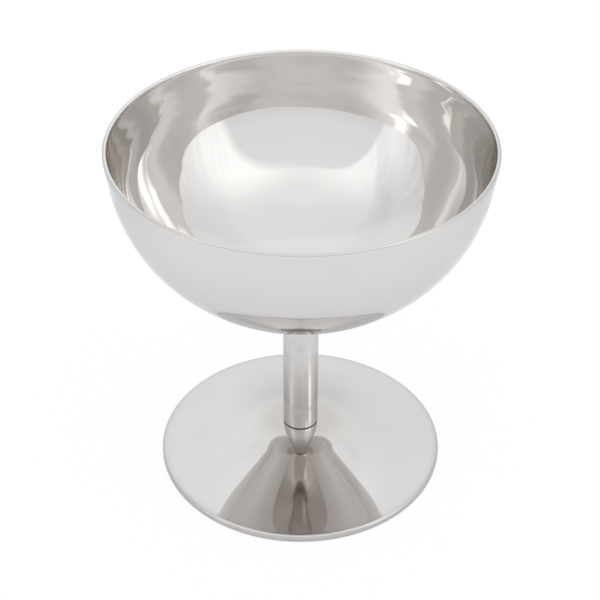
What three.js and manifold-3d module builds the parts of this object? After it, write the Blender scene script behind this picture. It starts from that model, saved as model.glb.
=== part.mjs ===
// A footed steel sundae cup: a drawn bowl, a tube stem and a pressed foot, held by one stud and nut.
// Millimetres, +Z up. The origin is on the table, in the middle of the foot.
import * as THREE from 'three';
import { mergeVertices } from 'three/addons/utils/BufferGeometryUtils.js';
import Module from 'manifold-3d';

// Driving dimensions of the bowl.
const rimDiameter = 103;
const bowlWall = 0.6;
const lipProud = 0.5; // how far the rolled lip stands out from the bowl's side
const lipDepth = 1.4; // from the top of the round side up to the rim

// Driving dimensions of the stem.
const stemDiameter = 10;
const stemWall = 1;
const stemLength = 47.4;
const stemChamfer = 0.25; // broken outer edge at both ends, the fine dark line at each seam

// Driving dimensions of the foot.
const footDiameter = 82;
const footHeight = 10.4; // from the table to the seat of the stem
const footSheet = 0.8;
const footCrownRadius = 26; // rounding from the seat into the sweep
const footEdgeSlope = 5; // degrees, fall of the sweep where it reaches the edge
const footBendInside = 0.2; // inner radius of the bends in the turned edge
const footEdgeFlat = 0.5; // upright stretch between the two bends
const footHemWidth = 2.5; // flat ring that stands on the table
const collarHeight = 2.5; // drawn collar that centres the stem

// Driving dimensions of the fastening inside.
const studDiameter = 5;
const studChamfer = 0.5;
const studTail = 1.2; // what shows of the stud below the nut
const studFlangeThickness = 1.2;
const washerThickness = 1;
const washerChamfer = 0.15;
const nutWidth = 8; // across flats
const nutHeight = 4;
const nutCountersink = 0.4;
const nutChamferSlope = 30; // degrees, bevel on the nut's corners

// Clearances and margins where pieces meet.
const seatMargin = 0.3; // flat seat beyond the stem's outside, on the bowl and on the foot
const plugClearance = 0.2; // stud flange and foot collar inside the stem
const studHoleClearance = 0.4; // stud in the foot's collar
const washerInset = 0.3; // washer inside the edge of the flat seat
const washerClearance = 0.2; // stud in the washer
const threadClearance = 0.1; // stud in the nut

// How finely round shapes are divided.
const sides = 48;
const smallSides = 36;
const wideArcSteps = 12;
const shortArcSteps = 4;
const tinyArcSteps = 2;
const samePlace = 1e-4; // points closer than this are one point
const halvings = 60; // rounds of the search for the foot's steepest slope

// Heights and radii that follow from the driving dimensions.
const rimRadius = rimDiameter / 2;
const bowlRadius = rimRadius - lipProud;
const stemRadius = stemDiameter / 2;
const stemBore = stemRadius - stemWall;
const seatRadius = stemRadius + seatMargin;
const plugRadius = stemBore - plugClearance;
const studRadius = studDiameter / 2;
const footRadius = footDiameter / 2;
const footBendRadius = footBendInside + footSheet;
const footEdgeHeight = footEdgeFlat + 2 * footBendRadius;
const bowlSeatHeight = footHeight + stemLength;
const sideRadius = bowlRadius - seatRadius;
const sideTop = bowlSeatHeight + sideRadius;
const rimHeight = sideTop + lipDepth;
const washerTop = footHeight - footSheet;
const nutTop = washerTop - washerThickness;
const nutBottom = nutTop - nutHeight;

const wasm = await Module();
wasm.setup();

// A point of an outline: distance from the axis, and height.
function point(radius, height) {
  return new THREE.Vector2(radius, height);
}

// A round stretch of an outline. Angles are in radians, from the outward direction towards up.
function arc(centreRadius, centreHeight, radius, fromAngle, toAngle, steps) {
  const points = [];
  for (let i = 0; i <= steps; i += 1) {
    const angle = fromAngle + ((toAngle - fromAngle) * i) / steps;
    points.push(point(centreRadius + radius * Math.cos(angle), centreHeight + radius * Math.sin(angle)));
  }
  return points;
}

// A solid of revolution about Z. The outline runs anticlockwise, with its material on the left.
function turned(outline, count) {
  const points = outline.filter((p, i) => i === 0 || p.distanceTo(outline[i - 1]) > samePlace);
  const geometry = new THREE.LatheGeometry(points, count);
  geometry.rotateX(Math.PI / 2);
  return geometry;
}

// The outline closed back to its first point, for rings.
function closed(outline) {
  return [...outline, outline[0].clone()];
}

function toSolid(geometry) {
  const bare = geometry.clone();
  bare.deleteAttribute('normal');
  bare.deleteAttribute('uv');
  const merged = mergeVertices(bare, samePlace);
  return new wasm.Manifold(new wasm.Mesh({
    numProp: 3,
    vertProperties: new Float32Array(merged.attributes.position.array),
    triVerts: new Uint32Array(merged.index.array),
  }));
}

function toGeometry(solid) {
  const mesh = solid.getMesh();
  const geometry = new THREE.BufferGeometry();
  geometry.setAttribute('position', new THREE.BufferAttribute(mesh.vertProperties, 3));
  geometry.setIndex(new THREE.BufferAttribute(mesh.triVerts, 1));
  geometry.computeVertexNormals();
  return geometry;
}

// The bowl: a small flat seat, a side that is a quarter circle, and a lip rolled to a round bead.
function makeBowl() {
  const up = Math.PI / 2;
  const beadRadius = (bowlWall + lipProud) / 2;
  const beadHeight = rimHeight - beadRadius;
  return turned([
    point(0, bowlSeatHeight),
    ...arc(seatRadius, sideTop, sideRadius, -up, 0, wideArcSteps),
    ...swell(point(bowlRadius, sideTop), point(rimRadius, beadHeight)),
    ...arc(rimRadius - beadRadius, beadHeight, beadRadius, 0, 2 * up, shortArcSteps),
    ...arc(seatRadius, sideTop, sideRadius - bowlWall, 0, -up, wideArcSteps),
    point(0, bowlSeatHeight + bowlWall),
  ], sides);
}

// The outside of the lip: it leaves the side upright, swells out and is upright again at the bead.
function swell(start, end) {
  const middle = (start.y + end.y) / 2;
  const curve = new THREE.CubicBezierCurve(start, point(start.x, middle), point(end.x, middle), end);
  return curve.getPoints(shortArcSteps);
}

// The stem: a plain tube with its outer edges broken.
function makeStemTube() {
  const bottom = footHeight;
  const top = bowlSeatHeight;
  return turned(closed([
    point(stemBore, bottom),
    point(stemRadius - stemChamfer, bottom),
    point(stemRadius, bottom + stemChamfer),
    point(stemRadius, top - stemChamfer),
    point(stemRadius - stemChamfer, top),
    point(stemBore, top),
  ]), sides);
}

// The foot's sweep: a round crown, then a hollow sweep to the edge, tangent to each other.
// The steepest slope is found by halving, so that the two arcs fall from the seat to the edge.
function solveSweep() {
  const edgeSlope = THREE.MathUtils.degToRad(footEdgeSlope);
  const edgeRadius = footRadius - footBendRadius + footBendRadius * Math.sin(edgeSlope);
  const edgeHeight = footEdgeHeight - footBendRadius + footBendRadius * Math.cos(edgeSlope);
  const fall = footHeight - edgeHeight;
  const run = edgeRadius - seatRadius;
  let low = edgeSlope;
  let high = Math.PI / 2;
  for (let i = 0; i < halvings; i += 1) {
    const steepest = (low + high) / 2;
    const crownRun = footCrownRadius * Math.sin(steepest);
    const crownFall = footCrownRadius * (1 - Math.cos(steepest));
    const sweepFall = (run - crownRun) * Math.tan((steepest + edgeSlope) / 2);
    if (crownRun > run || crownFall + sweepFall > fall) {
      high = steepest;
    } else {
      low = steepest;
    }
  }
  const turnRadius = seatRadius + footCrownRadius * Math.sin(low);
  const sweepRadius = (edgeRadius - turnRadius) / (Math.sin(low) - Math.sin(edgeSlope));
  return { steepest: low, edgeSlope, sweepRadius, edgeRadius, edgeHeight };
}

// One face of the sweep, from the seat out to the edge, at a depth below the upper face.
function sweepFace(sweep, depth) {
  const up = Math.PI / 2;
  const centreRadius = sweep.edgeRadius + sweep.sweepRadius * Math.sin(sweep.edgeSlope);
  const centreHeight = sweep.edgeHeight + sweep.sweepRadius * Math.cos(sweep.edgeSlope);
  const crownHeight = footHeight - footCrownRadius;
  return [
    ...arc(seatRadius, crownHeight, footCrownRadius - depth, up, up - sweep.steepest, shortArcSteps),
    ...arc(
      centreRadius, centreHeight, sweep.sweepRadius + depth,
      -up - sweep.steepest, -up - sweep.edgeSlope, wideArcSteps,
    ),
  ];
}

// The foot: one sheet with a drawn collar in the middle and an edge that is turned down and under.
function makeFoot() {
  const sweep = solveSweep();
  const up = Math.PI / 2;
  const holeRadius = studRadius + studHoleClearance;
  const collarBend = plugRadius - holeRadius;
  const bendCentre = footRadius - footBendRadius;
  const hemInner = bendCentre - footHemWidth;
  const topBendHeight = footEdgeHeight - footBendRadius;
  const outline = [
    point(hemInner, 0),
    ...arc(bendCentre, footBendRadius, footBendRadius, -up, 0, shortArcSteps),
    ...arc(bendCentre, topBendHeight, footBendRadius, 0, up - sweep.edgeSlope, shortArcSteps),
    ...sweepFace(sweep, 0).reverse(),
    point(plugRadius, footHeight),
    point(plugRadius, footHeight + collarHeight),
    point(holeRadius, footHeight + collarHeight),
    ...arc(plugRadius, washerTop + collarBend, collarBend, 2 * up, 3 * up, shortArcSteps),
    ...sweepFace(sweep, footSheet),
    ...arc(bendCentre, topBendHeight, footBendInside, up - sweep.edgeSlope, 0, tinyArcSteps),
    ...arc(bendCentre, footBendRadius, footBendInside, 0, -up, tinyArcSteps),
    point(hemInner, footSheet),
  ];
  return turned(closed(outline), sides);
}

// The stud: a flange under the bowl and a shank that ends just below the nut.
function makeWeldStud() {
  const flangeBottom = bowlSeatHeight - studFlangeThickness;
  const end = nutBottom - studTail;
  return turned([
    point(0, end),
    point(studRadius - studChamfer, end),
    point(studRadius, end + studChamfer),
    point(studRadius, flangeBottom),
    point(plugRadius, flangeBottom),
    point(plugRadius, bowlSeatHeight),
    point(0, bowlSeatHeight),
  ], smallSides);
}

// The washer: a flat ring with its outer edges broken.
function makeWasher() {
  const hole = studRadius + washerClearance;
  const outer = seatRadius - washerInset;
  return turned(closed([
    point(hole, nutTop),
    point(outer - washerChamfer, nutTop),
    point(outer, nutTop + washerChamfer),
    point(outer, washerTop - washerChamfer),
    point(outer - washerChamfer, washerTop),
    point(hole, washerTop),
  ]), smallSides);
}

// The nut: a hexagon cut by a bevelled ring, which also gives it its hole.
function makeNut() {
  const flat = nutWidth / 2;
  const corner = flat / Math.cos(Math.PI / 6);
  const hole = studRadius + threadClearance;
  const bevel = (corner - flat) * Math.tan(THREE.MathUtils.degToRad(nutChamferSlope));
  const hexagon = new THREE.Shape();
  for (let i = 0; i < 6; i += 1) {
    const angle = (i * Math.PI) / 3;
    const place = [corner * Math.cos(angle), corner * Math.sin(angle)];
    if (i === 0) {
      hexagon.moveTo(...place);
    } else {
      hexagon.lineTo(...place);
    }
  }
  const block = new THREE.ExtrudeGeometry(hexagon, { depth: nutHeight, bevelEnabled: false });
  block.translate(0, 0, nutBottom);
  const ring = turned(closed([
    point(hole + nutCountersink, nutBottom),
    point(flat, nutBottom),
    point(corner, nutBottom + bevel),
    point(corner, nutTop - bevel),
    point(flat, nutTop),
    point(hole + nutCountersink, nutTop),
    point(hole, nutTop - nutCountersink),
    point(hole, nutBottom + nutCountersink),
  ]), smallSides);
  return toGeometry(toSolid(block).intersect(toSolid(ring)));
}

const polished = { color: 0xd2d0ce, roughness: 0.08, metalness: 1 };
const satin = { color: 0xbdb9b6, roughness: 0.3, metalness: 1 };
const plain = { color: 0xa9a6a3, roughness: 0.4, metalness: 1 };

const cup = new THREE.Group();

function addPiece(name, geometry, finish) {
  const mesh = new THREE.Mesh(geometry, new THREE.MeshStandardMaterial(finish));
  mesh.name = name;
  cup.add(mesh);
}

addPiece('bowl', makeBowl(), polished);
addPiece('stem_tube', makeStemTube(), satin);
addPiece('foot', makeFoot(), polished);
addPiece('weld_stud', makeWeldStud(), plain);
addPiece('washer', makeWasher(), plain);
addPiece('nut', makeNut(), plain);

export default cup;
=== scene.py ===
import math

import bpy
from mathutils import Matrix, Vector, noise


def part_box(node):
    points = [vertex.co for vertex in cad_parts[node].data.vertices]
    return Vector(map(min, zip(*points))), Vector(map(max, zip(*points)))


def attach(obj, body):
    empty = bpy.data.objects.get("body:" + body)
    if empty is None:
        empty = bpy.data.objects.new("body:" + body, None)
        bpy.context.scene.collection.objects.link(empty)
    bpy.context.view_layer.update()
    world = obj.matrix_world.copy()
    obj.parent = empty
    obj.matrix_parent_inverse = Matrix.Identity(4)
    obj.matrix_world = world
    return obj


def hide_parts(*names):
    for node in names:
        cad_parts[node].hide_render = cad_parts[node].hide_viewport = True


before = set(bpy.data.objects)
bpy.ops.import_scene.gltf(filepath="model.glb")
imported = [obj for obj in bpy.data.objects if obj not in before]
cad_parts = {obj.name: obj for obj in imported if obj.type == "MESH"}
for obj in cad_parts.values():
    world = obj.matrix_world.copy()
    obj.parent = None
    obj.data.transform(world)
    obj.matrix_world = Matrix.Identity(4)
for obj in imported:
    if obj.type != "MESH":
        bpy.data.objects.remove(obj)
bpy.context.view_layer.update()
print("frame loaded")

# Lengths are metres, as in the frame. The CAD boxes give the main sizes.
mm = 0.001
micron = 0.001 * mm
bowlLow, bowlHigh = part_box("bowl")
stemLow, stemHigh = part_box("stem_tube")
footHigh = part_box("foot")[1]
studLow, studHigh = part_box("weld_stud")
washerLow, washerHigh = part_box("washer")
nutLow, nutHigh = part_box("nut")
stemRadius = stemHigh[0]
seatMargin = 0.3 * mm  # the flats above and below the stem are this much wider than it
seatRadius = stemRadius + seatMargin
up = math.pi / 2


# Shader maths: a socket that can be used in ordinary expressions.
class Wire:
    def __init__(self, graph, socket):
        self.graph = graph
        self.socket = socket

    def __add__(self, other):
        return self.graph.maths("ADD", self, other)

    def __radd__(self, other):
        return self.graph.maths("ADD", other, self)

    def __sub__(self, other):
        return self.graph.maths("SUBTRACT", self, other)

    def __rsub__(self, other):
        return self.graph.maths("SUBTRACT", other, self)

    def __mul__(self, other):
        return self.graph.maths("MULTIPLY", self, other)

    def __rmul__(self, other):
        return self.graph.maths("MULTIPLY", other, self)

    def __truediv__(self, other):
        return self.graph.maths("DIVIDE", self, other)

    def __rtruediv__(self, other):
        return self.graph.maths("DIVIDE", other, self)

    def __pow__(self, other):
        return self.graph.maths("POWER", self, other)

    def __neg__(self):
        return self.graph.maths("SUBTRACT", 0.0, self)

    def __abs__(self):
        return self.graph.maths("ABSOLUTE", self)


# A plain colour gets full alpha. A wire that carries a colour stays as it is.
def solid(colour):
    return colour if isinstance(colour, Wire) else (*colour, 1)


# One node tree, of a material or of the world.
class Graph:
    def __init__(self, owner):
        owner.use_nodes = True
        self.tree = owner.node_tree
        self.tree.nodes.clear()

    def add(self, kind, settings, sockets):
        node = self.tree.nodes.new(kind)
        for name, value in settings.items():
            setattr(node, name, value)
        for name, value in sockets.items():
            if isinstance(value, Wire):
                self.tree.links.new(value.socket, node.inputs[name])
            else:
                node.inputs[name].default_value = value
        return node

    def out(self, node, name):
        return Wire(self, node.outputs[name])

    def maths(self, operation, first, second=0.0, third=0.0):
        sockets = {0: first, 1: second, 2: third}
        return self.out(self.add("ShaderNodeMath", {"operation": operation}, sockets), 0)

    # From 0 at low to 1 at high, eased at both ends.
    def ease(self, value, low, high):
        settings = {"interpolation_type": "SMOOTHSTEP"}
        sockets = {"Value": value, "From Min": low, "From Max": high}
        return self.out(self.add("ShaderNodeMapRange", settings, sockets), "Result")

    def vector(self, x, y, z):
        return self.out(self.add("ShaderNodeCombineXYZ", {}, {"X": x, "Y": y, "Z": z}), "Vector")

    def parts(self, vector):
        node = self.add("ShaderNodeSeparateXYZ", {}, {"Vector": vector})
        return self.out(node, "X"), self.out(node, "Y"), self.out(node, "Z")

    def noise(self, vector, scale, detail):
        sockets = {"Vector": vector, "Scale": scale, "Detail": detail}
        return self.out(self.add("ShaderNodeTexNoise", {}, sockets), "Fac")

    # Sockets 6 and 7 are the two colours of a Mix node in colour mode.
    def mix(self, factor, first, second):
        sockets = {0: factor, 6: solid(first), 7: solid(second)}
        return self.out(self.add("ShaderNodeMix", {"data_type": "RGBA"}, sockets), 2)

    def coordinates(self, name):
        return self.parts(self.out(self.add("ShaderNodeTexCoord", {}, {}), name))

    def end(self, kind, node):
        self.add(kind, {}, {"Surface": self.out(node, 0)})


# Outlines are lists of (distance from the axis, height), with the metal on the left.
def arc(centre, radius, fromAngle, toAngle, steps):
    points = []
    for step in range(steps + 1):
        angle = fromAngle + (toAngle - fromAngle) * step / steps
        points.append((centre[0] + radius * math.cos(angle), centre[1] + radius * math.sin(angle)))
    return points


def straight(start, end, steps=2):
    points = []
    for step in range(steps + 1):
        share = step / steps
        points.append((start[0] + (end[0] - start[0]) * share, start[1] + (end[1] - start[1]) * share))
    return points


# From 0 at low to 1 at high, eased at both ends.
def eased(value, low, high):
    share = min(1, max(0, (value - low) / (high - low)))
    return share * share * (3 - 2 * share)


# A mesh from rings of points. A ring of one point is a tip on the axis.
def skin(name, rings, closed=False, sharpAngle=35):
    verts = []
    starts = []
    for ring in rings:
        starts.append(len(verts))
        verts.extend(ring)
    faces = []
    last = len(rings) if closed else len(rings) - 1
    for i in range(last):
        j = (i + 1) % len(rings)
        count = max(len(rings[i]), len(rings[j]))
        for k in range(count):
            n = (k + 1) % count
            if len(rings[i]) == 1:
                faces.append((starts[i], starts[j] + n, starts[j] + k))
            elif len(rings[j]) == 1:
                faces.append((starts[i] + k, starts[i] + n, starts[j]))
            else:
                faces.append((starts[i] + k, starts[i] + n, starts[j] + n, starts[j] + k))
    mesh = bpy.data.meshes.new(name)
    mesh.from_pydata(verts, [], faces)
    mesh.polygons.foreach_set("use_smooth", [True] * len(faces))
    mesh.set_sharp_from_angle(angle=math.radians(sharpAngle))
    piece = bpy.data.objects.new(name, mesh)
    bpy.context.scene.collection.objects.link(piece)
    return piece


def circle(radius, height, turns):
    if radius < 0.1 * micron:
        return [(0, 0, height)]
    ring = []
    for step in range(turns):
        angle = 2 * math.pi * step / turns
        ring.append((radius * math.cos(angle), radius * math.sin(angle), height))
    return ring


# An outline turned about the axis. Points that fall together are taken once.
def turned(name, outline, turns, closed=False):
    kept = []
    for radius, height in outline:
        if not kept or math.dist(kept[-1], (radius, height)) > micron:
            kept.append((radius, height))
    return skin(name, [circle(radius, height, turns) for radius, height in kept], closed)


def place(piece, node, material):
    piece.data.materials.append(material)
    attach(piece, "root")
    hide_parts(node)


# What all the steel shares. The quarter turn lays a stretched highlight across the rings.
finish = {
    "ringDetail": 3, "smearDetail": 4, "smears": (0.5, 0.75), "bumpDepth": 0.02 * mm, "quarterTurn": 0.25,
}


# Steel with fine rings from polishing on a lathe. The across function gives, from the
# coordinates, the distance that runs over the rings.
def steel(name, look, across):
    material = bpy.data.materials.new(name)
    graph = Graph(material)
    x, y, z = graph.coordinates("Object")
    radius = (x * x + y * y) ** 0.5 + micron
    path = across(graph, radius, z) * look["ringsPerMetre"]
    around = look["ringBreaks"]
    ringSpot = graph.vector(x / radius * around, y / radius * around, path)
    rings = graph.noise(ringSpot, 1, finish["ringDetail"])
    smear = graph.noise(graph.vector(x, y, z), look["smearScale"], finish["smearDetail"])
    marks = graph.ease(smear, *finish["smears"])
    roughness = look["roughness"] + (rings - 0.5) * look["ringRoughness"] + marks * look["smearRoughness"]
    colour = graph.mix(marks * look["smearTint"], look["colour"], look["smearColour"])
    # A darker band by height: painted shade on the bowl's bead and the foot's edge, a near-black band at
    # the stem's foot.
    if "seam" in look:
        seam = look["seam"]
        colour = graph.mix(graph.ease(z, seam["from"], seam["to"]), seam["colour"], colour)
    # A colour by distance from the axis: painted light or shade, as each look sets it.
    if "paintedByRadius" in look:
        paintedByRadius = look["paintedByRadius"]
        colour = graph.mix(graph.ease(radius, paintedByRadius["within"], paintedByRadius["beyond"]), paintedByRadius["colour"], colour)
    # Painted light and shade by side.
    for side in look.get("sides", []):
        share = graph.ease(x, side["from"], side["to"]) * side["share"]
        colour = graph.mix(share, colour, side["colour"])
    bump = graph.add("ShaderNodeBump", {}, {
        "Strength": look["ringBump"], "Distance": finish["bumpDepth"], "Height": rings,
    })
    shader = graph.add("ShaderNodeBsdfPrincipled", {}, {
        "Base Color": colour, "Metallic": 1.0, "Roughness": roughness,
        "Anisotropic": look["anisotropy"], "Anisotropic Rotation": finish["quarterTurn"],
        "Specular Tint": solid(look["edgeColour"]), "Normal": graph.out(bump, "Normal"),
    })
    graph.end("ShaderNodeOutputMaterial", shader)
    return material


# The bowl: thin polished sheet with a small flat seat, a round side and a lip rolled to a bead.
# Inside, light bounces many times at low angles. The inside is painted lighter towards the rim and
# on its left, and darker on its right: painted light and shade. Outside, the top of the bead and the
# metal round the stem are painted darker: painted shade. Angles are in degrees below the rim.
bowl = {
    "wall": 0.6 * mm, "lipProud": 0.5 * mm, "lipFrom": 6, "turns": 384,
    "outsideSteps": 48, "lipSteps": 14, "beadSteps": 16, "insideSteps": 160,
    "flare": {"depth": 0.4 * mm, "to": 6},
    "steps": [
        {"depth": -0.38 * mm, "from": 8, "to": 20},
        {"depth": 0.22 * mm, "from": 20, "to": 32},
        {"depth": 0.14 * mm, "from": 28, "to": 45},
        {"depth": 0.95 * mm, "from": 42, "to": 64},
    ],
    "ripples": [
        {"size": 0.12 * mm, "around": 2.2, "down": 3, "to": 90, "start": 23.6},
        {"size": 0.035 * mm, "around": 6, "down": 9, "to": 26, "start": 192.1},
        {"size": 0.018 * mm, "around": 13, "down": 22, "to": 22, "start": 60.7},
        {"size": 0.008 * mm, "around": 16, "down": 4, "to": 22, "start": 0},
    ],
    "rippleFade": 0.6, "calmRim": (0, 2), "calmBottom": (78, 90),
    "inside": {
        "colour": (0.72, 0.695, 0.675), "edgeColour": (1, 1, 1),
        # Painted light: beyond 49 mm from the axis the inside is lighter than nearer the centre.
        "paintedByRadius": {"within": 46.5 * mm, "beyond": 49 * mm, "colour": (0.685, 0.66, 0.64)},
        # Painted shade on the right of the inside and painted light on its left.
        "sides": [
            {"from": 22 * mm, "to": 40 * mm, "share": 0.05, "colour": (0, 0, 0)},
            {"from": -30 * mm, "to": -42 * mm, "share": 0.17, "colour": (1, 1, 1)},
            {"from": -42 * mm, "to": -47 * mm, "share": 0.13, "colour": (1, 1, 1)},
        ],
    },
    "outside": {
        "colour": (0.677, 0.656, 0.638), "edgeColour": (0.86, 0.875, 0.9),
        # Painted shade: within 27 mm of the axis, under the bowl round the stem, the outside is darker.
        "paintedByRadius": {"within": 13 * mm, "beyond": 27 * mm, "colour": (0.53, 0.495, 0.475)},
        # Painted shade: the top of the bead is darker, which dims its highlight.
        "seam": {
            "from": bowlHigh[2] - 0.25 * mm, "to": bowlHigh[2] - 0.55 * mm, "colour": (0.62, 0.6, 0.583),
        },
    },
    "roughness": 0.04, "ringsPerMetre": 2600, "ringBreaks": 2.5, "ringRoughness": 0.02, "ringBump": 0.02,
    "smearScale": 70, "smearRoughness": 0.02, "smearTint": 0.3, "smearColour": (0.64, 0.615, 0.595),
    "anisotropy": 0.0,
}
rimRadius = bowlHigh[0]
rimHeight = bowlHigh[2]
bowlSeat = bowlLow[2]
bowlRadius = rimRadius - bowl["lipProud"]
sideRadius = bowlRadius - seatRadius
sideTop = bowlSeat + sideRadius


# The outside of the lip swells slowly from the round side out to the bead.
def lipOutside(beadHeight):
    start = sideTop - sideRadius * math.sin(math.radians(bowl["lipFrom"]))
    points = []
    for step in range(bowl["lipSteps"] + 1):
        share = step / bowl["lipSteps"]
        height = start + (beadHeight - start) * share
        below = max(0, sideTop - height)
        radius = seatRadius + math.sqrt(sideRadius ** 2 - below ** 2)
        points.append((radius + bowl["lipProud"] * eased(share, 0, 1), height))
    return points


# The inside is drawn true here. Only the bottom already has the height that untrue() gives it.
def bowlOutline():
    wall = bowl["wall"]
    bead = (wall + bowl["lipProud"]) / 2
    beadHeight = rimHeight - bead
    sideCentre = (seatRadius, sideTop)
    lipFrom = math.radians(bowl["lipFrom"])
    bottom = bowlSeat + wall + bowl["flare"]["depth"] + sum(step["depth"] for step in bowl["steps"])
    return [
        (0, bowlSeat),
        *straight((seatRadius / 2, bowlSeat), (seatRadius, bowlSeat)),
        *arc(sideCentre, sideRadius, -up, -lipFrom, bowl["outsideSteps"]),
        *lipOutside(beadHeight),
        *arc((rimRadius - bead, beadHeight), bead, 0, math.pi, bowl["beadSteps"]),
        *straight((bowlRadius - wall, beadHeight), (bowlRadius - wall, sideTop)),
        *arc(sideCentre, sideRadius - wall, 0, -up, bowl["insideSteps"]),
        *straight((seatRadius, bottom), (seatRadius / 2, bottom))[1:],
        (0, bottom),
    ]


# Inside, the lip flares and the sheet isn't quite true: its depth changes in soft steps, and buffing
# has left ripples that get finer towards the rim.
def untrue(angle, way):
    flare = bowl["flare"]
    move = flare["depth"] * (1 - max(0, 1 - angle / flare["to"]) ** 2)
    for step in bowl["steps"]:
        move += step["depth"] * eased(angle, step["from"], step["to"])
    calm = eased(angle, *bowl["calmRim"]) * (1 - eased(angle, *bowl["calmBottom"]))
    for wave in bowl["ripples"]:
        depth = math.radians(angle) * wave["down"] + wave["start"]
        spot = Vector((way.x * wave["around"], way.y * wave["around"], depth))
        share = calm * (1 - eased(angle, bowl["rippleFade"] * wave["to"], wave["to"]))
        move += wave["size"] * noise.noise(spot) * share
    return move


# Moves the inner skin of the round side, and nothing else.
def rippleBowl(piece):
    middle = sideRadius - bowl["wall"] / 2
    for vert in piece.data.vertices:
        radius = math.hypot(vert.co.x, vert.co.y)
        across = radius - seatRadius
        below = sideTop - vert.co.z
        if across > -0.1 * micron and below > 0 and math.hypot(across, below) < middle:
            tilt = math.atan2(below, across)
            level = math.cos(tilt) / radius
            outward = Vector((vert.co.x * level, vert.co.y * level, -math.sin(tilt)))
            vert.co -= outward * untrue(math.degrees(tilt), outward)


def overBowl(graph, radius, z):
    return graph.maths("ARCTAN2", radius, rimHeight - z) * bowlRadius


bowlPiece = turned("bowl_polished", bowlOutline(), bowl["turns"])
rippleBowl(bowlPiece)
outsideLook = {**bowl, **bowl["outside"]}
insideLook = {**bowl, **bowl["inside"]}
place(bowlPiece, "bowl", steel("polished_outside", outsideLook, overBowl))
bowlPiece.data.materials.append(steel("polished_inside", insideLook, overBowl))
focus = Vector((0, 0, rimHeight))
for face in bowlPiece.data.polygons:
    face.material_index = int(face.normal.dot(focus - face.center) > 0)
print("bowl done")

# The stem: a satin tube with broken edges and a thin near-black band at its foot.
stem = {
    "bore": 4 * mm, "edge": 0.25 * mm, "turns": 128, "edgeSteps": 6, "tubeSteps": 40,
    "colour": (0.672, 0.652, 0.637), "edgeColour": (0.78, 0.78, 0.8),
    "seam": {"from": stemLow[2] + 0.1 * mm, "to": stemLow[2] + 0.45 * mm, "colour": (0.05, 0.04, 0.035)},
    "roughness": 0.2, "ringsPerMetre": 5200, "ringBreaks": 1.2, "ringRoughness": 0.1, "ringBump": 0.06,
    "smearScale": 160, "smearRoughness": 0.05, "smearTint": 0.4, "smearColour": (0.56, 0.54, 0.52),
    "anisotropy": 0.75,
}


def stemOutline():
    edge = stem["edge"]
    low = stemLow[2]
    high = stemHigh[2]
    return [
        (stem["bore"], low),
        (stemRadius - edge, low),
        *arc((stemRadius - edge, low + edge), edge, -up, 0, stem["edgeSteps"]),
        *straight((stemRadius, low + edge), (stemRadius, high - edge), stem["tubeSteps"]),
        *arc((stemRadius - edge, high - edge), edge, 0, up, stem["edgeSteps"]),
        (stem["bore"], high),
    ]


def alongStem(graph, radius, z):
    return z


stemPiece = turned("stem_satin", stemOutline(), stem["turns"], closed=True)
place(stemPiece, "stem_tube", steel("satin_stem", stem, alongStem))
print("stem done")

# The foot: a round crown, a hollow sweep and an edge that is turned down and under to a flat ring.
# The crown round the stem and the turned edge are painted darker than the sweep: painted shade.
foot = {
    "sheet": 0.8 * mm, "crownRadius": 26 * mm, "edgeSlope": math.radians(5), "bendInside": 0.2 * mm,
    "edgeFlat": 0.5 * mm, "hemWidth": 2.5 * mm,
    "collarHeight": 2.5 * mm, "plug": 3.8 * mm, "hole": 2.9 * mm,
    "turns": 256, "crownSteps": 32, "sweepSteps": 56, "outerBendSteps": 12, "innerBendSteps": 6,
    "collarSteps": 8, "hemSteps": 4, "seatSteps": 3, "halvings": 60,
    "colour": (0.675, 0.65, 0.63), "edgeColour": (0.86, 0.86, 0.88),
    # Painted shade: within 16 mm of the axis, under the bowl round the stem, the crown is darker.
    "paintedByRadius": {"within": 7 * mm, "beyond": 16 * mm, "colour": (0.59, 0.56, 0.535)},
    # Painted shade: the turned edge is darker below 2.3 mm and fades out by 2.65 mm, dimming its
    # highlight.
    "seam": {"from": 2.3 * mm, "to": 2.65 * mm, "colour": (0.55, 0.525, 0.515)},
    "roughness": 0.04, "ringsPerMetre": 2400, "ringBreaks": 2.5, "ringRoughness": 0.02, "ringBump": 0.02,
    "smearScale": 90, "smearRoughness": 0.02, "smearTint": 0.3, "smearColour": (0.62, 0.6, 0.58),
    "anisotropy": 0.0,
}
footRadius = footHigh[0]
footSeat = footHigh[2] - foot["collarHeight"]
footBend = foot["bendInside"] + foot["sheet"]
footEdge = foot["edgeFlat"] + 2 * footBend
topBend = (footRadius - footBend, footEdge - footBend)


# The steepest slope is halved towards the one that makes both arcs fall from the seat to the edge.
def solveSweep():
    slope = foot["edgeSlope"]
    edge = (topBend[0] + footBend * math.sin(slope), topBend[1] + footBend * math.cos(slope))
    run = edge[0] - seatRadius
    low = slope
    high = up
    for _ in range(foot["halvings"]):
        steep = (low + high) / 2
        crownRun = foot["crownRadius"] * math.sin(steep)
        crownFall = foot["crownRadius"] * (1 - math.cos(steep))
        fall = crownFall + (run - crownRun) * math.tan((steep + slope) / 2)
        if crownRun > run or fall > footSeat - edge[1]:
            high = steep
        else:
            low = steep
    turn = seatRadius + foot["crownRadius"] * math.sin(low)
    sweepRadius = (edge[0] - turn) / (math.sin(low) - math.sin(slope))
    return {"steep": low, "radius": sweepRadius, "edge": edge}


# The face of the crown and the sweep, or the one that lies deeper by the sheet's thickness.
def sweepFace(sweep, depth):
    slope = foot["edgeSlope"]
    radius = sweep["radius"]
    centre = (sweep["edge"][0] + radius * math.sin(slope), sweep["edge"][1] + radius * math.cos(slope))
    crownCentre = (seatRadius, footSeat - foot["crownRadius"])
    crown = arc(crownCentre, foot["crownRadius"] - depth, up, up - sweep["steep"], foot["crownSteps"])
    return crown + arc(centre, radius + depth, -up - sweep["steep"], -up - slope, foot["sweepSteps"])


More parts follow.
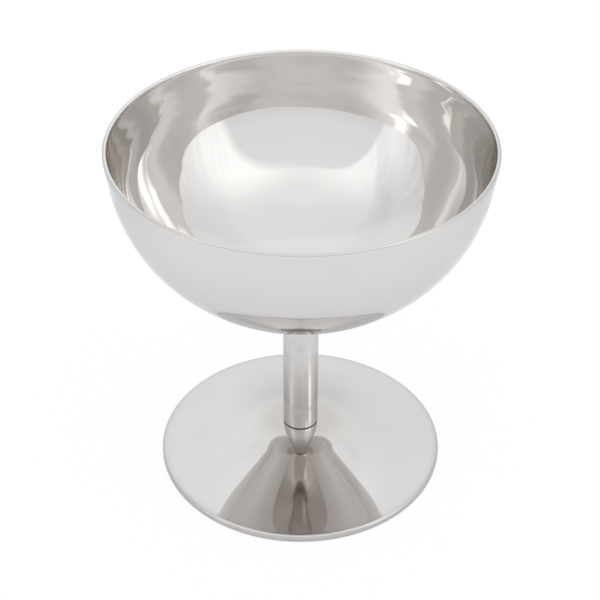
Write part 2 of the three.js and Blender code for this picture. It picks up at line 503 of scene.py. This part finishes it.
def footOutline():
    sweep = solveSweep()
    slope = foot["edgeSlope"]
    sheet = foot["sheet"]
    lowBend = (topBend[0], footBend)
    hemRound = sheet / 2
    hemEnd = (lowBend[0] - foot["hemWidth"] + hemRound, hemRound)
    collarBend = foot["plug"] - foot["hole"]
    collarCentre = (foot["plug"], footSeat - sheet + collarBend)
    collarTop = footHigh[2]
    return [
        *arc(hemEnd, hemRound, math.pi, 3 * up, foot["hemSteps"])[1:],
        *straight((hemEnd[0], 0), (lowBend[0], 0), foot["hemSteps"]),
        *arc(lowBend, footBend, -up, 0, foot["outerBendSteps"]),
        *arc(topBend, footBend, 0, up - slope, foot["outerBendSteps"]),
        *reversed(sweepFace(sweep, 0)),
        *straight((seatRadius, footSeat), (foot["plug"], footSeat), foot["seatSteps"]),
        (foot["plug"], collarTop),
        (foot["hole"], collarTop),
        *arc(collarCentre, collarBend, math.pi, 3 * up, foot["collarSteps"]),
        *sweepFace(sweep, sheet),
        *arc(topBend, foot["bendInside"], up - slope, 0, foot["innerBendSteps"]),
        *arc(lowBend, foot["bendInside"], 0, -up, foot["innerBendSteps"]),
        *straight((lowBend[0], sheet), (hemEnd[0], sheet), foot["hemSteps"]),
        *arc(hemEnd, hemRound, up, math.pi, foot["hemSteps"]),
    ]


def fromAxis(graph, radius, z):
    return radius


footPiece = turned("foot_polished", footOutline(), foot["turns"], closed=True)
place(footPiece, "foot", steel("polished_foot", foot, fromAxis))
print("foot done")

# The fasteners inside: plain bright steel with the grain of a tumbled finish.
fastener = {
    "colour": (0.56, 0.55, 0.54), "edgeColour": (0.8, 0.8, 0.8),
    "roughness": 0.32, "ringsPerMetre": 3000, "ringBreaks": 1.5, "ringRoughness": 0.12, "ringBump": 0.1,
    "smearScale": 260, "smearRoughness": 0.12, "smearTint": 0.5, "smearColour": (0.43, 0.42, 0.4),
    "anisotropy": 0.0,
}
plainSteel = steel("plain_fastener", fastener, fromAxis)

# The stud: a flange welded under the bowl and a shank that is threaded at its lower end.
stud = {
    "radius": 2.5 * mm, "flange": 1.2 * mm, "chamfer": 0.5 * mm, "turns": 48, "runOut": 0.3 * mm,
    "pitch": 0.8 * mm, "depth": 0.4 * mm, "threads": 9, "threadSteps": 12, "root": 1.25, "flank": 2.6,
}


# How deep the thread is cut at a share of its pitch: 0 at the crest, 1 at the root in the middle.
def threadCut(phase):
    return min(1, max(0, stud["root"] - stud["flank"] * abs(phase - 0.5)))


def studRings():
    end = studLow[2]
    plainFrom = end + stud["threads"] * stud["pitch"]
    steps = stud["threads"] * stud["threadSteps"]
    rings = [[(0, 0, end)]]
    for step in range(steps + 1):
        height = end + (plainFrom - end) * step / steps
        limit = stud["radius"] - stud["chamfer"] + (height - end)
        ring = []
        for k in range(stud["turns"]):
            share = k / stud["turns"]
            angle = 2 * math.pi * share
            phase = (height / stud["pitch"] - share) % 1
            radius = min(stud["radius"] - stud["depth"] * threadCut(phase), limit)
            ring.append((radius * math.cos(angle), radius * math.sin(angle), height))
        rings.append(ring)
    flangeTop = studHigh[2]
    flangeBottom = flangeTop - stud["flange"]
    flangeRadius = studHigh[0]
    plain = [
        (stud["radius"], plainFrom + stud["runOut"]),
        (stud["radius"], flangeBottom),
        (flangeRadius, flangeBottom),
        (flangeRadius, flangeTop),
        (0, flangeTop),
    ]
    return rings + [circle(radius, height, stud["turns"]) for radius, height in plain]


place(skin("weld_stud_threaded", studRings()), "weld_stud", plainSteel)

# The washer: stamped, so its lower edge is rolled over and its upper edge is square.
washer = {
    "hole": 2.7 * mm, "roll": 0.3 * mm, "burr": 0.05 * mm, "turns": 72, "rollSteps": 6, "burrSteps": 3,
}


def washerOutline():
    low = washerLow[2]
    high = washerHigh[2]
    hole = washer["hole"]
    outer = washerHigh[0]
    roll = washer["roll"]
    burr = washer["burr"]
    return [
        *arc((hole + roll, low + roll), roll, math.pi, 3 * up, washer["rollSteps"]),
        *arc((outer - roll, low + roll), roll, -up, 0, washer["rollSteps"]),
        *arc((outer - burr, high - burr), burr, 0, up, washer["burrSteps"]),
        *arc((hole + burr, high - burr), burr, up, math.pi, washer["burrSteps"]),
    ]


washerPiece = turned("washer_stamped", washerOutline(), washer["turns"], closed=True)
place(washerPiece, "washer", plainSteel)

# The nut: a hexagon with bevelled corners and a countersunk thread.
nut = {
    "hole": 2.6 * mm, "sink": 0.4 * mm, "bevel": math.radians(30), "bevelSteps": 4, "edge": 0.06 * mm,
    "turns": 120, "sharpAngle": 25,
}


def nutRings():
    low = nutLow[2]
    high = nutHigh[2]
    turns = nut["turns"]
    halfSide = math.pi / 6  # half of the angle that one side takes up
    corner = nutHigh[0]
    flat = corner * math.cos(halfSide)
    bevel = (corner - flat) * math.tan(nut["bevel"])
    face = flat - nut["edge"]
    sink = nut["hole"] + nut["sink"]
    heights = [low + bevel * step / nut["bevelSteps"] for step in range(nut["bevelSteps"] + 1)]
    heights += [low + high - height for height in reversed(heights)]
    rings = [
        circle(nut["hole"], low + nut["sink"], turns),
        circle(sink, low, turns),
        circle(face, low, turns),
    ]
    for height in heights:
        limit = flat + min(height - low, high - height) / math.tan(nut["bevel"])
        ring = []
        for k in range(turns):
            angle = 2 * math.pi * k / turns
            fromCorner = (angle + halfSide) % (2 * halfSide) - halfSide
            side = flat / math.cos(halfSide - abs(fromCorner))
            radius = min(side, limit, corner - nut["edge"])
            ring.append((radius * math.cos(angle), radius * math.sin(angle), height))
        rings.append(ring)
    return rings + [
        circle(face, high, turns),
        circle(sink, high, turns),
        circle(nut["hole"], high - nut["sink"], turns),
    ]


nutPiece = skin("nut_hexagon", nutRings(), closed=True, sharpAngle=nut["sharpAngle"])
place(nutPiece, "nut", plainSteel)
print("fasteners done")

# The floor: white to the eye. Steel sees its real shading and a painted shade that darkens the floor
# away from a spot just in front of the cup.
floor = {
    "half": 3.0, "drop": 0.02 * mm, "seen": 0.92, "mirrored": 0.1,
    # Painted shade: from near to far from the litAt spot the floor that steel sees grows darker.
    "litAt": -100 * mm, "near": 150 * mm, "far": 300 * mm,
    "nearColour": (0.94, 0.935, 0.935), "farColour": (0.8, 0.795, 0.795),
    "grainScale": 40, "grainDetail": 3, "grainShare": 0.1, "grainColour": (0.97, 0.97, 0.97),
}
white = (1, 1, 1)


def floorMaterial():
    material = bpy.data.materials.new("white_floor")
    graph = Graph(material)
    x, y, z = graph.coordinates("Object")
    paths = graph.add("ShaderNodeLightPath", {}, {})
    toEye = graph.out(paths, "Is Camera Ray")
    mirrored = graph.out(paths, "Is Glossy Ray") + graph.out(paths, "Is Transmission Ray")
    forward = y - floor["litAt"]
    away = (x * x + forward * forward) ** 0.5
    dimmed = graph.ease(away, floor["near"], floor["far"])
    shadedFloor = graph.mix(dimmed, floor["nearColour"], floor["farColour"])
    grain = graph.noise(graph.vector(x, y, z), floor["grainScale"], floor["grainDetail"])
    pale = graph.mix(grain * floor["grainShare"], white, floor["grainColour"])
    lit = graph.add("ShaderNodeBsdfDiffuse", {}, {"Color": graph.mix(toEye, shadedFloor, pale)})
    glow = graph.add("ShaderNodeEmission", {}, {"Color": pale, "Strength": 1.0})
    seen = toEye * floor["seen"] + mirrored * floor["mirrored"]
    both = graph.add("ShaderNodeMixShader", {}, {
        0: graph.maths("MINIMUM", seen, 1.0), 1: graph.out(lit, 0), 2: graph.out(glow, 0),
    })
    graph.end("ShaderNodeOutputMaterial", both)
    return material


half = floor["half"]
floorCorners = [(-half, -half, 0), (half, -half, 0), (half, half, 0), (-half, half, 0)]
floorMesh = bpy.data.meshes.new("floor")
floorMesh.from_pydata(floorCorners, [], [(0, 1, 2, 3)])
floorMesh.materials.append(floorMaterial())
floorPiece = bpy.data.objects.new("floor", floorMesh)
floorPiece.location.z = -floor["drop"]
bpy.context.scene.collection.objects.link(floorPiece)
print("floor done")

# The studio: a white cloth tent with an arched opening towards the camera, lit from the left and the
# right. Azimuth 0 is the camera's side and grows to the right; angles are in degrees.
studio = {
    "colour": (0.98, 1, 1.012), "horizon": 0.86,
    "rises": [
        {"strength": 0.18, "elevation": (-2, 28)},
        {"strength": 0.05, "elevation": (28, 60)},
    ],
    "zenith": {"strength": 0.065, "elevation": (50, 62), "front": (-0.35, -0.05)},
    "opening": {
        "azimuth": -0.75, "width": 51.75, "height": 52.5, "power": 4.2,
        "leftEdge": (0.97, 1.03), "rightEdge": (0.91, 1.08), "middle": (-20, 20),
    },
    "brow": {"strength": 0.15, "reach": (1, 2.2)},
    "lamps": [
        {"azimuth": 57, "elevation": 46, "strength": 0.27, "near": 3, "far": 34},
        {"azimuth": -58, "elevation": 48, "strength": 0.19, "near": 2, "far": 32},
        {"azimuth": 88, "elevation": 38, "strength": 0.085, "near": 4, "far": 30},
    ],
    "coreDepth": 2.5,
    "cores": [
        {"azimuth": 41, "elevation": 38, "strength": 1.3, "near": 3, "far": 10, "round": True},
        {"azimuth": 64, "elevation": 34, "strength": 1.1, "near": 1, "far": 11},
        {"azimuth": -55, "elevation": 42, "strength": 0.18, "near": 1, "far": 18},
        {"azimuth": 19, "elevation": 33, "strength": 0.13, "near": 5, "far": 18, "round": True},
        {"azimuth": -12, "elevation": 21, "strength": -0.09, "near": 10, "far": 26, "round": True},
    ],
    "shades": [
        {"azimuth": 140, "elevation": 56, "strength": -0.07, "near": 20, "far": 70},
        {"azimuth": -98, "elevation": 47, "strength": -0.09, "near": 8, "far": 40},
        {"azimuth": 180, "elevation": 0, "strength": 0.05, "near": 12, "far": 40},
    ],
    "back": {
        "azimuth": -172, "width": 59, "height": 70, "power": 3, "edge": (0.98, 1.02), "strength": 0.05,
    },
    "folds": {
        "strength": 0.26, "width": 3.2, "length": 40, "drift": 90, "detail": 2, "lean": 0.57,
        "start": (50, 58), "end": (100, 120), "top": (40, 52),
    },
    "veil": {
        "strength": -0.14, "azimuth": -36, "rise": 60.5, "inner": (-0.015, 0.03), "outer": (0.1, 0.27),
        "before": (10, 30), "behind": (118, 140), "thin": (46, 57), "thinness": 0.6,
    },
}
degree = 180 / math.pi


# An azimuth as seen from another one, from -180 to 180.
def turnFrom(graph, azimuth, middle):
    return graph.maths("WRAP", azimuth - middle, 180.0, -180.0)


# How far a direction is from the middle of an arch in the tent: 1 is its edge.
def archReach(graph, azimuth, elevation, arch):
    across = abs(turnFrom(graph, azimuth, arch["azimuth"])) / arch["width"]
    height = graph.maths("MAXIMUM", elevation, 0.0) / arch["height"]
    return (across ** arch["power"] + height ** arch["power"]) ** (1 / arch["power"])


# A lamp lights the cloth from its own height down to the floor, unless it is round.
def lampGlow(graph, azimuth, elevation, lamp):
    across = turnFrom(graph, azimuth, lamp["azimuth"]) * graph.maths("COSINE", elevation / degree)
    above = elevation - lamp["elevation"]
    if "round" not in lamp:
        above = graph.maths("MAXIMUM", above, 0.0)
    away = (across * across + above * above) ** 0.5
    return (1 - graph.ease(away, lamp["near"], lamp["far"])) * lamp["strength"]


# The cloth hangs in folds on both sides.
def clothFolds(graph, azimuth, elevation):
    folds = studio["folds"]
    side = abs(azimuth)
    along = (side - elevation * folds["lean"]) / folds["width"]
    spot = graph.vector(along, elevation / folds["length"], azimuth / folds["drift"])
    pattern = graph.noise(spot, 1, folds["detail"])
    where = graph.ease(side, *folds["start"]) * (1 - graph.ease(side, *folds["end"]))
    where = where * (1 - graph.ease(elevation, *folds["top"]))
    return (pattern - 0.5) * where * folds["strength"]


# A second cloth hangs over the left lamp. Its edge is straight and rises from the floor near the
# opening, and below is the sine of the angle under that edge.
def veilShade(graph, direction, azimuth, elevation):
    veil = studio["veil"]
    x, y, z = direction
    start = veil["azimuth"] / degree
    rise = veil["rise"] / degree
    toLeft = -x * math.cos(start) - y * math.sin(start)
    below = toLeft * math.sin(rise) - z * math.cos(rise)
    where = graph.ease(below, *veil["inner"]) * (1 - graph.ease(below, *veil["outer"]))
    where = where * graph.ease(-azimuth, *veil["before"]) * (1 - graph.ease(-azimuth, *veil["behind"]))
    return where * (1 - graph.ease(elevation, *veil["thin"]) * veil["thinness"]) * veil["strength"]


# The even part of the tent: lighter upwards, and darker or lighter in a few wide places.
def tentLevel(graph, y, azimuth, elevation):
    level = studio["horizon"]
    for rise in studio["rises"]:
        level = level + graph.ease(elevation, *rise["elevation"]) * rise["strength"]
    zenith = studio["zenith"]
    overhead = graph.ease(elevation, *zenith["elevation"]) * graph.ease(y, *zenith["front"])
    level = level + overhead * zenith["strength"]
    for shade in studio["shades"]:
        level = level + lampGlow(graph, azimuth, elevation, shade)
    back = studio["back"]
    inBack = 1 - graph.ease(archReach(graph, azimuth, elevation, back), *back["edge"])
    return level + inBack * back["strength"]


# What the lamps add on the cloth round the opening. The opening itself stays without it.
def tentGlow(graph, direction, azimuth, elevation):
    opening = studio["opening"]
    brow = studio["brow"]
    reach = archReach(graph, azimuth, elevation, opening)
    glow = (1 - graph.ease(reach, *brow["reach"])) * brow["strength"]
    glow = glow + clothFolds(graph, azimuth, elevation)
    for lamp in studio["lamps"]:
        glow = glow + lampGlow(graph, azimuth, elevation, lamp)
    glow = glow + veilShade(graph, direction, azimuth, elevation)
    right = graph.ease(azimuth, *opening["middle"])
    leftCloth = graph.ease(reach, *opening["leftEdge"]) * (1 - right)
    rightCloth = graph.ease(reach, *opening["rightEdge"]) * right
    return glow * (leftCloth + rightCloth)


def studioWorld():
    world = bpy.data.worlds.new("studio")
    bpy.context.scene.world = world
    graph = Graph(world)
    x, y, z = graph.coordinates("Generated")
    azimuth = graph.maths("ARCTAN2", x, -y) * degree
    elevation = graph.maths("ARCSINE", z) * degree
    light = tentLevel(graph, y, azimuth, elevation) + tentGlow(graph, (x, y, z), azimuth, elevation)
    # The lamps' cores are held back where they show at first sight, as a camera holds back highlights.
    paths = graph.add("ShaderNodeLightPath", {}, {})
    repeated = graph.maths("GREATER_THAN", graph.out(paths, "Ray Depth"), studio["coreDepth"])
    for core in studio["cores"]:
        light = light + lampGlow(graph, azimuth, elevation, core) * repeated
    tent = graph.add("ShaderNodeBackground", {}, {"Color": solid(studio["colour"]), "Strength": light})
    plain = graph.add("ShaderNodeBackground", {}, {"Color": solid(white), "Strength": 1.0})
    both = graph.add("ShaderNodeMixShader", {}, {
        0: graph.out(paths, "Is Camera Ray"), 1: graph.out(tent, 0), 2: graph.out(plain, 0),
    })
    graph.end("ShaderNodeOutputWorld", both)


studioWorld()
print("studio done")

# The camera, as found by fitting the photo's outline. Light goes round the bowl many times.
camera = {
    "distance": 426.98 * mm, "elevation": math.radians(36.588), "target": 53.815 * mm, "lens": 91.956,
    "roll": math.radians(0.256), "shift": -1.013 / 600, "sensor": 36, "clip": 10 * mm, "bounces": 24,
}


def addCamera():
    data = bpy.data.cameras.new("camera")
    data.sensor_width = camera["sensor"]
    data.lens = camera["lens"]
    data.shift_x = camera["shift"]
    data.clip_start = camera["clip"]
    eye = bpy.data.objects.new("camera", data)
    tilt = camera["elevation"]
    back = camera["distance"] * math.cos(tilt)
    eye.location = (0, -back, camera["target"] + camera["distance"] * math.sin(tilt))
    eye.rotation_euler = (up - tilt, 0, 0)
    eye.rotation_euler.rotate_axis("Z", camera["roll"])
    bpy.context.scene.collection.objects.link(eye)
    bpy.context.scene.camera = eye


addCamera()
bpy.context.scene.view_settings.view_transform = "Standard"
bpy.context.scene.cycles.max_bounces = camera["bounces"]
bpy.context.scene.cycles.glossy_bounces = camera["bounces"]
print("camera done")
